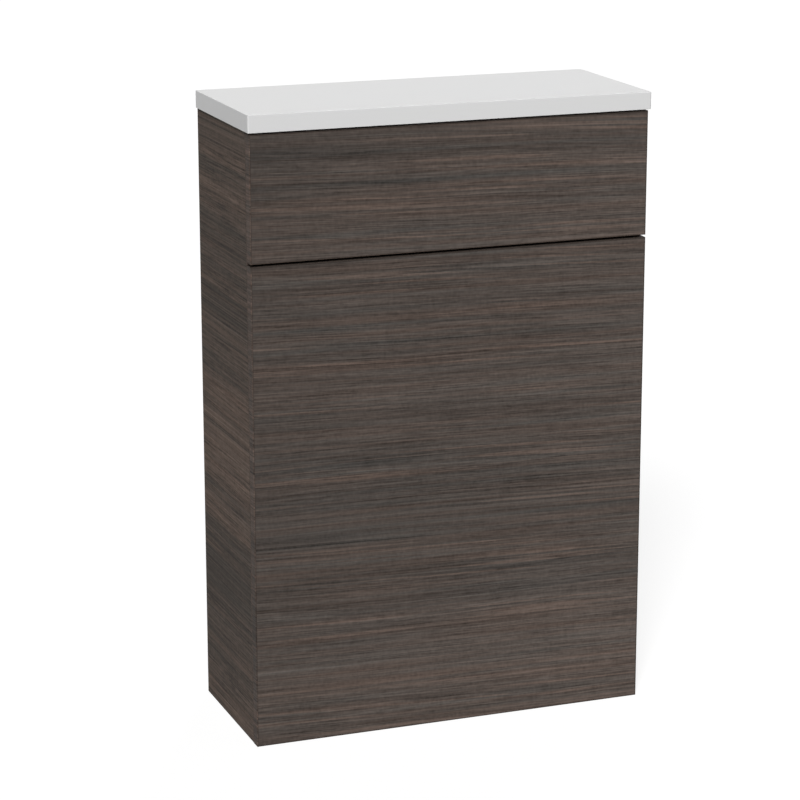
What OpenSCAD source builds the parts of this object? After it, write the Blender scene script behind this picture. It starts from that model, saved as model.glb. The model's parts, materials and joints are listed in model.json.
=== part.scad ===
// Back-to-wall toilet unit: a case that hides a cistern, with a lift-off worktop and a clip-on access panel.
// Millimetres, +Z up. The wall is on the +Y side, and the origin is the centre of the base.

/* [Case] */
// Width of the case and of the front panels
case_w = 500; // [460:1:620]
// Height of the case, from the floor to the underside of the worktop
case_h = 744; // [700:1:860]
// Depth from the face of the front panels to the wall
case_d = 203; // [195:1:260]

/* [Boards] */
// Thickness of the side panels
side_t = 15; // [14:0.5:19]
// Thickness of the front panels
front_t = 15; // [14:0.5:19]
// Thickness of the rails
rail_t = 15; // [14:0.5:19]
// Height of the rails, which stand on edge
rail_h = 80; // [70:1:96]
// Thickness of the edging strips
edging_t = 1; // [0.6:0.1:2]
// Radius on the outer corners of the edging strips
edging_r = 0.7; // [0.2:0.1:1]
// Gap at the joint between the ends of two edging strips
edging_joint = 0.1; // [0.05:0.05:0.3]

/* [Front] */
// Height of the upper front panel
upper_h = 151; // [130:1:220]
// Shadow gap between the two front panels
mid_gap = 3; // [2:0.5:6]
// Shadow gap between the upper front panel and the worktop
top_gap = 2; // [1:0.5:6]

/* [Worktop] */
// Thickness of the worktop
worktop_t = 21; // [18:1:40]
// Overhang of the worktop past each side panel
side_overhang = 2.5; // [0:0.5:10]
// Overhang of the worktop past the front panels
front_overhang = 3.5; // [0:0.5:20]
// Radius of the worktop's upright corners
worktop_corner_r = 2; // [1.5:0.5:10]
// Radius along the worktop's top and bottom edges
worktop_edge_r = 1; // [0.4:0.1:1.5]

/* [Worktop pegs] */
// Diameter of the pegs that locate the worktop
peg_d = 8; // [6:0.5:9]
// Length of a peg in the worktop, and of its free end below it
peg_half = 10; // [8:0.5:14]
// Distance of a peg from the front and the back of a side panel
peg_inset = 30; // [20:1:50]

/* [Cam joints] */
// Diameter of the cam discs
cam_d = 15; // [12:0.5:16]
// Board left under a cam disc
cam_floor = 2.5; // [2:0.1:3.5]
// Distance from a rail's end to the centre of its cam disc
cam_setback = 34; // [30:1:40]
// Height between the cam bolt and the dowel in a rail's end
joint_pitch = 32; // [26:1:40]
// Diameter of a cam bolt's shank
bolt_d = 7; // [6:0.5:7.5]
// Diameter of a cam bolt's thread
bolt_thread_d = 5; // [4:0.5:6]
// Length of a cam bolt's thread, in the side panel
bolt_bite = 11; // [8:0.5:12]
// Diameter of a cam bolt's head
bolt_head_d = 6; // [5:0.5:7]
// Length of a cam bolt's head
bolt_head_len = 4; // [3:0.5:5]
// Diameter of a cam bolt's neck, behind its head
bolt_neck_d = 3.5; // [3:0.5:4]
// Diameter of the wooden dowels
dowel_d = 8; // [6:0.5:9]
// Length of a wooden dowel
dowel_len = 30; // [25:1:35]
// Length of a wooden dowel in the side panel
dowel_bite = 10; // [8:0.5:12]
// Chamfer on the ends of dowels and pegs
dowel_chamfer = 1; // [0.5:0.1:1.5]

/* [Access panel clips] */
// Diameter of a clip's stud
stud_d = 8; // [6:0.5:9]
// Length of a stud's root in the access panel
stud_root = 10; // [8:0.5:11]
// Length of a stud's head behind the access panel
stud_head = 12; // [10:0.5:13]
// Depth of the waist round a stud's head
stud_waist = 0.8; // [0.4:0.1:1.2]
// Wall of a clip's socket
socket_wall = 2; // [1.5:0.5:3]
// Width of the flange round a socket
socket_flange = 2; // [1.5:0.5:3]
// Thickness of the flange round a socket
socket_flange_t = 1.5; // [1:0.5:2]
// Width of the slots between a socket's fingers
socket_slot = 1; // [0.6:0.1:1.5]
// Distance of a clip from the end of its rail
clip_inset = 75; // [65:1:100]

/* [Screws] */
// Diameter of the screws that hold the lower front panel
long_screw_d = 4; // [3.5:0.5:5]
// Bite of those screws in the lower front panel
long_screw_bite = 10; // [8:0.5:12]
// Number of those screws on each rail
long_screws = 4; // [3:1:6]
// Distance of the outer screws from the end of their rail
long_screw_inset = 60; // [55:1:80]
// Diameter of the screws that hold blocks and brackets
short_screw_d = 3.5; // [3:0.5:4]
// Bite of those screws in a board
short_screw_bite = 11; // [8:0.5:12]
// Height of a countersunk head
head_h = 2.2; // [1.8:0.1:2.6]

/* [Corner blocks] */
// Size of a corner block, across each of its two legs
block_w = 18; // [16:0.5:24]
// Height of a corner block
block_h = 40; // [34:1:60]
// Number of corner blocks on each side panel
blocks = 2; // [1:1:4]

/* [Wall brackets] */
// Length of each leg of a wall bracket
bracket_leg = 35; // [30:1:45]
// Height of a wall bracket
bracket_h = 50; // [44:1:70]
// Thickness of a wall bracket's steel
bracket_t = 2; // [1.5:0.1:3]
// Diameter of the wall screw's hole
wall_hole_d = 6; // [5:0.5:8]
// Gap between the top rear rail and the wall brackets
bracket_drop = 10; // [5:1:40]
// Distance of the wall screw from the side panel
wall_hole_in = 22; // [18:0.5:26]

/* [Levelling feet] */
// Diameter of a foot's threaded stem
stem_d = 8; // [6:0.5:10]
// Diameter of a foot's pad
pad_d = 32; // [24:1:38]
// Height of a foot's pad
pad_h = 7; // [6:0.5:10]
// Floor of the pad under the stem
pad_floor = 3; // [2:0.5:4]
// Chamfer round the top and the bottom of a pad
pad_chamfer = 1; // [0.5:0.1:2]
// Height of the hexagonal collar on the stem
collar_h = 4; // [3:0.5:6]
// Width of the collar across its flats
collar_af = 13; // [12:0.5:16]
// Furthest that a foot screws out
foot_travel = 12; // [6:1:16]
// Stem left above its boss when the foot is screwed out
stem_spare = 8; // [4:1:12]
// Diameter of the boss that the stem turns in
boss_d = 18; // [15:0.5:22]
// Height of that boss
boss_h = 24; // [20:1:30]
// Distance from the side panel to the stem
foot_reach = 20; // [18:0.5:26]
// Width of a foot bracket's plate
plate_w = 44; // [38:1:50]
// Height of a foot bracket's plate
plate_h = 50; // [44:1:60]
// Thickness of a foot bracket's plate and ribs
plate_t = 3; // [2.5:0.5:5]
// Distance of a foot bracket's screws from the edges of its plate
plate_margin = 7; // [6:0.5:8]
// Gap between a foot bracket and the rail beside it
foot_clear = 8; // [5:1:12]

/* [Fits] */
// Clearance round a screw, cam or dowel in its hole
fixing_fit = 0.05; // [0.02:0.01:0.1]
// Clearance round a piece that slides or turns
sliding_fit = 0.1; // [0.05:0.01:0.2]
// Clearance at the end of a blind hole
end_fit = 0.3; // [0.1:0.1:0.6]
// Clearance between flat faces that turn past each other
run_gap = 0.3; // [0.2:0.1:0.6]

/* [Hidden] */
$fn = 48;

DECOR = [0.30, 0.27, 0.25];
EDGING = [0.25, 0.23, 0.22];
WHITE = [0.92, 0.92, 0.92];
NYLON = [0.80, 0.80, 0.78];
DARK_NYLON = [0.16, 0.16, 0.17];
ZINC = [0.70, 0.70, 0.72];
STEEL = [0.78, 0.78, 0.80];
BEECH = [0.78, 0.62, 0.42];

// Overlap that carries a cut past the face it opens
past = 1;
// Steps in a rounded corner
arc_steps = 4;

// Planes of the case
worktop_w = case_w + 2 * side_overhang;
worktop_d = case_d + front_overhang;
back_y = worktop_d / 2;
front_y = back_y - case_d;
board_y = front_y + front_t;
inner_x = case_w / 2 - side_t;
rail_len = 2 * inner_x;

// Heights of the front panels
upper_z = case_h - top_gap - upper_h;
lower_h = upper_z - mid_gap;

// Each rail: its front face, its lower edge, and the way that its cam discs face, 1 for the rear
top_rail_z = case_h - rail_h;
mid_rail_z = lower_h + mid_gap / 2 - rail_h / 2;
rear_rail_y = back_y - rail_t;
TOP_FRONT = [board_y, top_rail_z, 1];
MID_FRONT = [board_y, mid_rail_z, 1];
BOTTOM_FRONT = [board_y, 0, 1];
TOP_REAR = [rear_rail_y, top_rail_z, -1];
BOTTOM_REAR = [rear_rail_y, 0, -1];
RAILS = [TOP_FRONT, MID_FRONT, BOTTOM_FRONT, TOP_REAR, BOTTOM_REAR];

// Cam discs, from the floor of their bore to just under the face of the rail
cam_depth = rail_t - cam_floor;
bolt_shank = cam_setback - cam_d / 2 - end_fit;

// Access panel clips: on the top rail, and on the part of the middle rail behind the upper panel
clip_x = rail_len / 2 - clip_inset;
CLIP_Z = [top_rail_z + rail_h / 2, (upper_z + mid_rail_z + rail_h) / 2];
socket_bore = stud_d / 2 + sliding_fit;
socket_r = socket_bore + socket_wall;
socket_len = stud_head + end_fit;

// Screws of the lower front panel: on the part of the middle rail behind it, and on the bottom rail
long_screw_x = rail_len / 2 - long_screw_inset;
long_screw_step = 2 * long_screw_x / (long_screws - 1);
LONG_SCREW_Z = [(mid_rail_z + lower_h) / 2, rail_h / 2];

// Corner blocks, spread evenly between the bottom rail and the middle rail
block_step = (mid_rail_z - rail_h) / (blocks + 1);
BLOCK_Z = [for (i = [1:blocks]) rail_h + i * block_step];

// Pegs of the worktop
peg_x = inner_x + side_t / 2;
PEG_Y = [board_y + peg_inset, back_y - peg_inset];

// Wall brackets
bracket_z = top_rail_z - bracket_drop - bracket_h;
bracket_screw_y = back_y - (bracket_leg + bracket_t) / 2;

// Levelling feet, front and rear
foot_x = inner_x - foot_reach;
foot_inset = rail_t + foot_clear + plate_w / 2;
FRONT = board_y + foot_inset;
REAR = back_y - foot_inset;
collar_z = pad_h + run_gap;
boss_z = collar_z + collar_h + run_gap;
stem_z = pad_floor + run_gap;
stem_top = boss_z + boss_h + foot_travel + stem_spare;
plate_screw_y = plate_w / 2 - plate_margin;
PLATE_SCREW_Z = [boss_z + plate_margin, boss_z + plate_h - plate_margin];

// Points of an arc of radius r about [x, y], from angle a to a + 90
function arc(x, y, r, a) = [
    for (i = [0:arc_steps]) [x + r * cos(a + 90 * i / arc_steps), y + r * sin(a + 90 * i / arc_steps)]
];

// A rectangle with rounded corners, centred on the origin
module rounded_rectangle(w, h, r) {
    x = w / 2 - r;
    y = h / 2 - r;
    polygon(concat(arc(x, y, r, 0), arc(-x, y, r, 90), arc(-x, -y, r, 180), arc(x, -y, r, 270)));
}

// A strip of edging along +Z, with its glued face on the XZ plane and its outside towards -Y
module strip(length, width) {
    r = min(edging_r, 0.9 * edging_t);
    x = width / 2 - r;
    y = r - edging_t;
    corners = concat(arc(-x, y, r, 180), arc(x, y, r, 270));
    linear_extrude(length) polygon(concat([[-width / 2, 0]], corners, [[width / 2, 0]]));
}

// A front panel of height h, with its lower edge at z, without its edging
module front_core(z, h) {
    translate([edging_t - case_w / 2, front_y, z + edging_t])
        cube([case_w - 2 * edging_t, front_t, h - 2 * edging_t]);
}

// The four strips round that panel: the upright ones run the full height
module front_edging(z, h) {
    mid_y = front_y + front_t / 2;
    side_x = case_w / 2 - edging_t;
    end_x = side_x - edging_joint;
    for (s = [-1, 1]) translate([s * side_x, mid_y, z]) rotate([0, 0, s * 90]) strip(h, front_t);
    translate([-end_x, mid_y, z + edging_t]) rotate([90, 0, 90]) strip(2 * end_x, front_t);
    translate([-end_x, mid_y, z + h - edging_t]) rotate([-90, 0, -90]) strip(2 * end_x, front_t);
}

// Pieces are drawn on the right, +X. Side 1 leaves them there and side -1 mirrors them
module on_side(s) {
    mirror([s < 0 ? 1 : 0, 0, 0]) children();
}

module on_both_sides() {
    for (s = [-1, 1]) on_side(s) children();
}

// A cylinder along Z, from one height to another
module rod(r, from, to) {
    translate([0, 0, from]) cylinder(r = r, h = to - from);
}

// A dowel or peg along Z, with chamfered ends
module dowel(d, from, to) {
    r = d / 2;
    c = dowel_chamfer;
    rotate_extrude()
        polygon([[0, from], [r - c, from], [r, from + c], [r, to - c], [r - c, to], [0, to]]);
}

// A countersunk wood screw that points down, with the top of its head at z = 0
module screw(d, len) {
    recess = [1.1 * d, 0.25 * d, 1.4 * head_h];
    difference() {
        rotate_extrude() polygon([[0, 0], [d, 0], [d / 2, -head_h], [d / 2, d / 2 - len], [0, -len]]);
        for (a = [0, 90]) rotate(a) cube(recess, center = true);
    }
}

// The hole that such a screw fills
module screw_hole(d, len) {
    f = fixing_fit;
    rotate_extrude()
        polygon([
            [0, past], [d + f, past], [d + f, 0], [d / 2 + f, -head_h],
            [d / 2 + f, d / 2 - len], [0, -len - end_fit]
        ]);
}

// The end of a rail on the right, at height dz from its middle: +Z points into the side panel
module at_rail_end(rail, dz) {
    translate([inner_x, rail[0] + rail_t / 2, rail[1] + rail_h / 2 + dz]) rotate([0, 90, 0]) children();
}

// The mouth of a cam disc's bore: +Z points out of the rail
module at_cam(rail) {
    face_y = rail[0] + (rail[2] > 0 ? rail_t : 0);
    translate([inner_x - cam_setback, face_y, rail[1] + (rail_h + joint_pitch) / 2])
        rotate([-90 * rail[2], 0, 0]) children();
}

// The back face of the access panel at each clip: +Z points to the rear
module at_clips() {
    on_both_sides() for (z = CLIP_Z) translate([clip_x, board_y, z]) rotate([-90, 0, 0]) children();
}

// The back face of a rail at each screw of the lower front panel: +Z points to the rear
module at_long_screws() {
    for (z = LONG_SCREW_Z, i = [0:long_screws - 1])
        translate([i * long_screw_step - long_screw_x, board_y + rail_t, z]) rotate([-90, 0, 0]) children();
}

// The faces of the right corner blocks at their screws: +Z points out of the block
module at_side_block_screws() {
    for (z = BLOCK_Z)
        translate([inner_x - block_w, board_y + block_w / 2, z + block_h / 4]) rotate([0, -90, 0]) children();
}

module at_front_block_screws() {
    for (z = BLOCK_Z)
        translate([inner_x - block_w / 2, board_y + block_w, z - block_h / 4]) rotate([-90, 0, 0]) children();
}

// The face of the right wall bracket at its screws: +Z points out of the side panel
module at_bracket_screws() {
    for (share = [0.25, 0.75])
        translate([inner_x - bracket_t, bracket_screw_y, bracket_z + share * bracket_h])
            rotate([0, -90, 0]) children();
}

// The face of a right foot bracket at its screws: +Z points out of the side panel
module at_plate_screws(y) {
    for (s = [-1, 1], z = PLATE_SCREW_Z)
        translate([inner_x - plate_t, y + s * plate_screw_y, z]) rotate([0, -90, 0]) children();
}

module at_pegs() {
    for (y = PEG_Y) translate([peg_x, y, case_h]) children();
}

module side_panel(s) {
    thread_r = bolt_thread_d / 2 + fixing_fit;
    dowel_r = dowel_d / 2 + fixing_fit;
    color(DECOR) on_side(s) difference() {
        translate([inner_x, board_y + edging_t, edging_t])
            cube([side_t, back_y - board_y - edging_t, case_h - edging_t]);
        for (rail = RAILS) {
            at_rail_end(rail, joint_pitch / 2) rod(thread_r, -past, bolt_bite + end_fit);
            at_rail_end(rail, -joint_pitch / 2) rod(dowel_r, -past, dowel_bite + end_fit);
        }
        at_pegs() rod(peg_d / 2 + sliding_fit, -peg_half - end_fit, past);
        at_side_block_screws() screw_hole(short_screw_d, block_w + short_screw_bite);
        at_bracket_screws() screw_hole(short_screw_d, bracket_t + short_screw_bite);
        for (y = [FRONT, REAR]) at_plate_screws(y) screw_hole(short_screw_d, plate_t + short_screw_bite);
    }
}

// The front and the bottom edge of a side panel are edged
module side_edging(s) {
    bottom_len = back_y - board_y - edging_t - edging_joint;
    color(EDGING) on_side(s) {
        translate([peg_x, board_y + edging_t, 0]) strip(case_h, side_t);
        translate([peg_x, back_y, edging_t]) rotate([90, 0, 0]) strip(bottom_len, side_t);
    }
}

module rail_board(rail) {
    dowel_r = dowel_d / 2 + fixing_fit;
    difference() {
        translate([-inner_x, rail[0], rail[1]]) cube([rail_len, rail_t, rail_h]);
        on_both_sides() {
            at_rail_end(rail, joint_pitch / 2) rod(bolt_d / 2 + fixing_fit, -cam_setback, past);
            at_rail_end(rail, -joint_pitch / 2) rod(dowel_r, dowel_bite - dowel_len - end_fit, past);
            at_cam(rail) rod(cam_d / 2 + fixing_fit, -cam_depth, past);
        }
    }
}

module front_rail(rail) {
    flange_r = socket_r + socket_flange + fixing_fit;
    color(DECOR) difference() {
        rail_board(rail);
        at_clips() {
            rod(socket_r + fixing_fit, -past, socket_len + end_fit);
            rod(flange_r, -past, socket_flange_t);
        }
        at_long_screws() screw_hole(long_screw_d, rail_t + long_screw_bite);
    }
}

module rear_rail(rail) {
    color(DECOR) rail_board(rail);
}

module upper_front_panel() {
    color(DECOR) difference() {
        front_core(upper_z, upper_h);
        at_clips() rod(stud_d / 2 + fixing_fit, -stud_root - end_fit, past);
    }
}

module lower_front_panel() {
    color(DECOR) difference() {
        front_core(0, lower_h);
        at_long_screws() screw_hole(long_screw_d, rail_t + long_screw_bite);
        on_both_sides() at_front_block_screws() screw_hole(short_screw_d, block_w + short_screw_bite);
    }
}

module upper_front_edging() {
    color(EDGING) front_edging(upper_z, upper_h);
}

module lower_front_edging() {
    color(EDGING) front_edging(0, lower_h);
}

// The worktop is rounded along every edge
module worktop() {
    mid_z = case_h + worktop_t / 2;
    color(WHITE) difference() {
        intersection() {
            translate([0, 0, case_h]) linear_extrude(worktop_t)
                rounded_rectangle(worktop_w, worktop_d, worktop_corner_r);
            translate([0, back_y, mid_z]) rotate([90, 0, 0]) linear_extrude(worktop_d)
                rounded_rectangle(worktop_w, worktop_t, worktop_edge_r);
            translate([-worktop_w / 2, 0, mid_z]) rotate([90, 0, 90]) linear_extrude(worktop_w)
                rounded_rectangle(worktop_d, worktop_t, worktop_edge_r);
        }
        on_both_sides() at_pegs() rod(peg_d / 2 + fixing_fit, -past, peg_half + end_fit);
    }
}

module worktop_pegs() {
    color(BEECH) on_both_sides() at_pegs() dowel(peg_d, -peg_half, peg_half);
}

// A disc whose pocket holds the bolt's head, and whose channel lets the neck in from the rail's end
module cam_disc() {
    channel = bolt_neck_d + 2 * run_gap;
    pocket = bolt_head_len / 2 + run_gap;
    recess = [0.5 * cam_d, 0.12 * cam_d, 0.3 * rail_t];
    difference() {
        rod(cam_d / 2, -cam_depth, -end_fit);
        translate([0, 0, -rail_t / 2]) {
            rotate([0, 90, 0]) rod(bolt_head_d / 2 + run_gap, -pocket, pocket);
            translate([0, -channel / 2, -channel / 2]) cube([cam_d, channel, channel]);
        }
        for (a = [45, 135]) rotate(a) cube(recess, center = true);
    }
}

module cam_discs() {
    color(ZINC) on_both_sides() for (rail = RAILS) at_cam(rail) cam_disc();
}

// Thread in the side panel, shank in the rail, then the neck and the head in the cam disc
module cam_bolt() {
    thread = bolt_thread_d / 2;
    shank = bolt_d / 2;
    neck = bolt_neck_d / 2;
    head = bolt_head_d / 2;
    head_near = bolt_head_len / 2 - cam_setback;
    head_far = -bolt_head_len / 2 - cam_setback;
    rotate_extrude()
        polygon([
            [0, bolt_bite], [thread / 2, bolt_bite], [thread, bolt_bite - thread], [thread, 0],
            [shank, 0], [shank, -bolt_shank], [neck, -bolt_shank], [neck, head_near],
            [head, head_near], [head, head_far], [0, head_far]
        ]);
}

module cam_bolts() {
    color(STEEL) on_both_sides() for (rail = RAILS) at_rail_end(rail, joint_pitch / 2) cam_bolt();
}

module wooden_dowels() {
    color(BEECH) on_both_sides() for (rail = RAILS)
        at_rail_end(rail, -joint_pitch / 2) dowel(dowel_d, dowel_bite - dowel_len, dowel_bite);
}

// A push-in root, a waist behind the panel, and a head with a tapered nose
module access_panel_stud() {
    r = stud_d / 2;
    waist_r = r - stud_waist;
    nose = r / 2;
    rotate_extrude()
        polygon([
            [0, -stud_root], [waist_r, -stud_root], [r, stud_waist - stud_root], [r, 0],
            [waist_r, stud_waist], [waist_r, stud_head / 2], [r, stud_head / 2 + stud_waist],
            [r, stud_head - nose], [nose, stud_head], [0, stud_head]
        ]);
}

module access_panel_studs() {
    color(NYLON) at_clips() access_panel_stud();
}

// Four fingers behind a flange
module access_panel_socket() {
    difference() {
        union() {
            rod(socket_r, 0, socket_len);
            rod(socket_r + socket_flange, 0, socket_flange_t);
        }
        rod(socket_bore, -past, socket_len + past);
        for (a = [0, 90]) rotate(a)
            translate([-socket_r - past, -socket_slot / 2, 2 * socket_flange_t])
                cube([2 * (socket_r + past), socket_slot, socket_len]);
    }
}

module access_panel_sockets() {
    color(NYLON) at_clips() access_panel_socket();
}

module lower_panel_screws() {
    color(STEEL) at_long_screws() screw(long_screw_d, rail_t + long_screw_bite);
}

module corner_blocks() {
    color(NYLON) on_both_sides() difference() {
        for (z = BLOCK_Z)
            translate([inner_x - block_w, board_y, z - block_h / 2]) cube([block_w, block_w, block_h]);
        at_side_block_screws() screw_hole(short_screw_d, block_w + short_screw_bite);
        at_front_block_screws() screw_hole(short_screw_d, block_w + short_screw_bite);
    }
}

module corner_block_screws() {
    color(STEEL) on_both_sides() {
        at_side_block_screws() screw(short_screw_d, block_w + short_screw_bite);
        at_front_block_screws() screw(short_screw_d, block_w + short_screw_bite);
    }
}

// An angle of steel: one leg on the side panel, and one on the wall
module wall_bracket(s) {
    color(ZINC) on_side(s) difference() {
        translate([inner_x, back_y, bracket_z]) {
            translate([-bracket_t, -bracket_leg, 0]) cube([bracket_t, bracket_leg, bracket_h]);
            translate([-bracket_leg, -bracket_t, 0]) cube([bracket_leg, bracket_t, bracket_h]);
        }
        at_bracket_screws() screw_hole(short_screw_d, bracket_t + short_screw_bite);
        translate([inner_x - wall_hole_in, back_y, bracket_z + bracket_h / 2])
            rotate([90, 0, 0]) rod(wall_hole_d / 2, -past, bracket_t + past);
    }
}

module wall_bracket_screws() {
    color(STEEL) on_both_sides() at_bracket_screws() screw(short_screw_d, bracket_t + short_screw_bite);
}

// A plate on the side panel, with a boss for the stem, two ribs beside it and a gusset above it
module foot_bracket(s, y) {
    gusset_x = foot_x + stem_d / 2 + sliding_fit + run_gap;
    plate_x = inner_x - plate_t;
    rib_end = plate_x + plate_t / 2;
    gusset_top = boss_z + plate_h - plate_t;
    color(DARK_NYLON) on_side(s) difference() {
        union() {
            translate([plate_x, y - plate_w / 2, boss_z]) cube([plate_t, plate_w, plate_h]);
            translate([foot_x, y, 0]) rod(boss_d / 2, boss_z, boss_z + boss_h);
            for (side = [-1, 1])
                translate([foot_x, y + side * boss_d / 4 - plate_t / 2, boss_z])
                    cube([rib_end - foot_x, plate_t, boss_h]);
            translate([0, y + plate_t / 2, 0]) rotate([90, 0, 0]) linear_extrude(plate_t)
                polygon([
                    [gusset_x, boss_z], [rib_end, boss_z], [rib_end, gusset_top],
                    [plate_x, gusset_top], [gusset_x, boss_z + boss_h]
                ]);
        }
        translate([foot_x, y, 0]) rod(stem_d / 2 + sliding_fit, boss_z - past, boss_z + boss_h + past);
        at_plate_screws(y) screw_hole(short_screw_d, plate_t + short_screw_bite);
    }
}

module foot_bracket_screws() {
    color(STEEL) on_both_sides() for (y = [FRONT, REAR])
        at_plate_screws(y) screw(short_screw_d, plate_t + short_screw_bite);
}

// A stem with a collar for a spanner, and a slot in its top for a screwdriver
module foot_stem(s, y) {
    slot = [stem_d + past, stem_d / 6, stem_d / 2];
    color(STEEL) on_side(s) translate([foot_x, y, 0]) difference() {
        union() {
            rod(stem_d / 2, stem_z, stem_top);
            translate([0, 0, collar_z]) cylinder(d = collar_af / cos(30), h = collar_h, $fn = 6);
        }
        translate([0, 0, stem_top]) cube(slot, center = true);
    }
}

module foot_pad(s, y) {
    r = pad_d / 2;
    c = pad_chamfer;
    bore = stem_d / 2 + sliding_fit;
    color(DARK_NYLON) on_side(s) translate([foot_x, y, 0]) rotate_extrude()
        polygon([
            [0, 0], [r - c, 0], [r, c], [r, pad_h - c], [r - c, pad_h],
            [bore, pad_h], [bore, pad_floor], [0, pad_floor]
        ]);
}

side_panel(-1);  // left_side_panel
side_panel(1);  // right_side_panel
side_edging(-1);  // left_side_edging
side_edging(1);  // right_side_edging
front_rail(TOP_FRONT);  // top_front_rail
front_rail(MID_FRONT);  // mid_front_rail
front_rail(BOTTOM_FRONT);  // bottom_front_rail
rear_rail(TOP_REAR);  // top_rear_rail
rear_rail(BOTTOM_REAR);  // bottom_rear_rail
upper_front_panel();
upper_front_edging();
lower_front_panel();
lower_front_edging();
worktop();
worktop_pegs();
cam_discs();
cam_bolts();
wooden_dowels();
access_panel_studs();
access_panel_sockets();
lower_panel_screws();
corner_blocks();
corner_block_screws();
wall_bracket(-1);  // left_wall_bracket
wall_bracket(1);  // right_wall_bracket
wall_bracket_screws();
foot_bracket(-1, FRONT);  // front_left_foot_bracket
foot_bracket(1, FRONT);  // front_right_foot_bracket
foot_bracket(-1, REAR);  // rear_left_foot_bracket
foot_bracket(1, REAR);  // rear_right_foot_bracket
foot_bracket_screws();
foot_stem(-1, FRONT);  // front_left_foot_stem
foot_stem(1, FRONT);  // front_right_foot_stem
foot_stem(-1, REAR);  // rear_left_foot_stem
foot_stem(1, REAR);  // rear_right_foot_stem
foot_pad(-1, FRONT);  // front_left_foot_pad
foot_pad(1, FRONT);  // front_right_foot_pad
foot_pad(-1, REAR);  // rear_left_foot_pad
foot_pad(1, REAR);  // rear_right_foot_pad
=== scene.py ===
import json
import math

import bpy
from mathutils import Matrix, Vector

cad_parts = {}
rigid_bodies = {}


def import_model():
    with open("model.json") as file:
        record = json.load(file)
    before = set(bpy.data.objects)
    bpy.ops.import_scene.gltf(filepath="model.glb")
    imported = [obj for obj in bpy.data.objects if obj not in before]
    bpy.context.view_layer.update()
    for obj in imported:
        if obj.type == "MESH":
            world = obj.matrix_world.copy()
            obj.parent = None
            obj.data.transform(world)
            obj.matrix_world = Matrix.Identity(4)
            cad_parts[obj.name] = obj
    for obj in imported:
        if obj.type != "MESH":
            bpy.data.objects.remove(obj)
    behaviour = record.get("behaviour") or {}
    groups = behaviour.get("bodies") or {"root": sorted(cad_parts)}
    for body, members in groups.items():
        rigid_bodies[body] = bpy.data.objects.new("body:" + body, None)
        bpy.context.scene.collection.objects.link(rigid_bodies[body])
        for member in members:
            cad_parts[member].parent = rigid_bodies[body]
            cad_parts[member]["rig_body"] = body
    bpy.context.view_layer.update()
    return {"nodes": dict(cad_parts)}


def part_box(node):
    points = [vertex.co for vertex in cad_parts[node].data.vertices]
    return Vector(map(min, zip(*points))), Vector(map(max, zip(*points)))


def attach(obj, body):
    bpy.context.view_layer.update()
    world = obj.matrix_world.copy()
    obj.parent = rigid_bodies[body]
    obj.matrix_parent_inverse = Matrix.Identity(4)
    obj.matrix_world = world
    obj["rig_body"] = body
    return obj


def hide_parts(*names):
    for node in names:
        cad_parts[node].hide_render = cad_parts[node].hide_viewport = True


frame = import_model()

feet = ("front_left", "front_right", "rear_left", "rear_right")
scene = bpy.context.scene
near = 0.00001  # places closer than this are taken as one


# Shader maths: a wire is one output of a node, and works in plain expressions
class Wire:
    def __init__(self, bench, socket):
        self.bench = bench
        self.socket = socket

    def sum(self, operation, first, second):
        return self.bench.node("ShaderNodeMath", {"operation": operation}, {0: first, 1: second})

    def __add__(self, other):
        return self.sum("ADD", self, other)

    def __radd__(self, other):
        return self.sum("ADD", other, self)

    def __sub__(self, other):
        return self.sum("SUBTRACT", self, other)

    def __rsub__(self, other):
        return self.sum("SUBTRACT", other, self)

    def __mul__(self, other):
        return self.sum("MULTIPLY", self, other)

    def __rmul__(self, other):
        return self.sum("MULTIPLY", other, self)

    def __abs__(self):
        return self.sum("ABSOLUTE", self, 0.0)

    def __gt__(self, other):
        return self.sum("GREATER_THAN", self, other)


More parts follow.
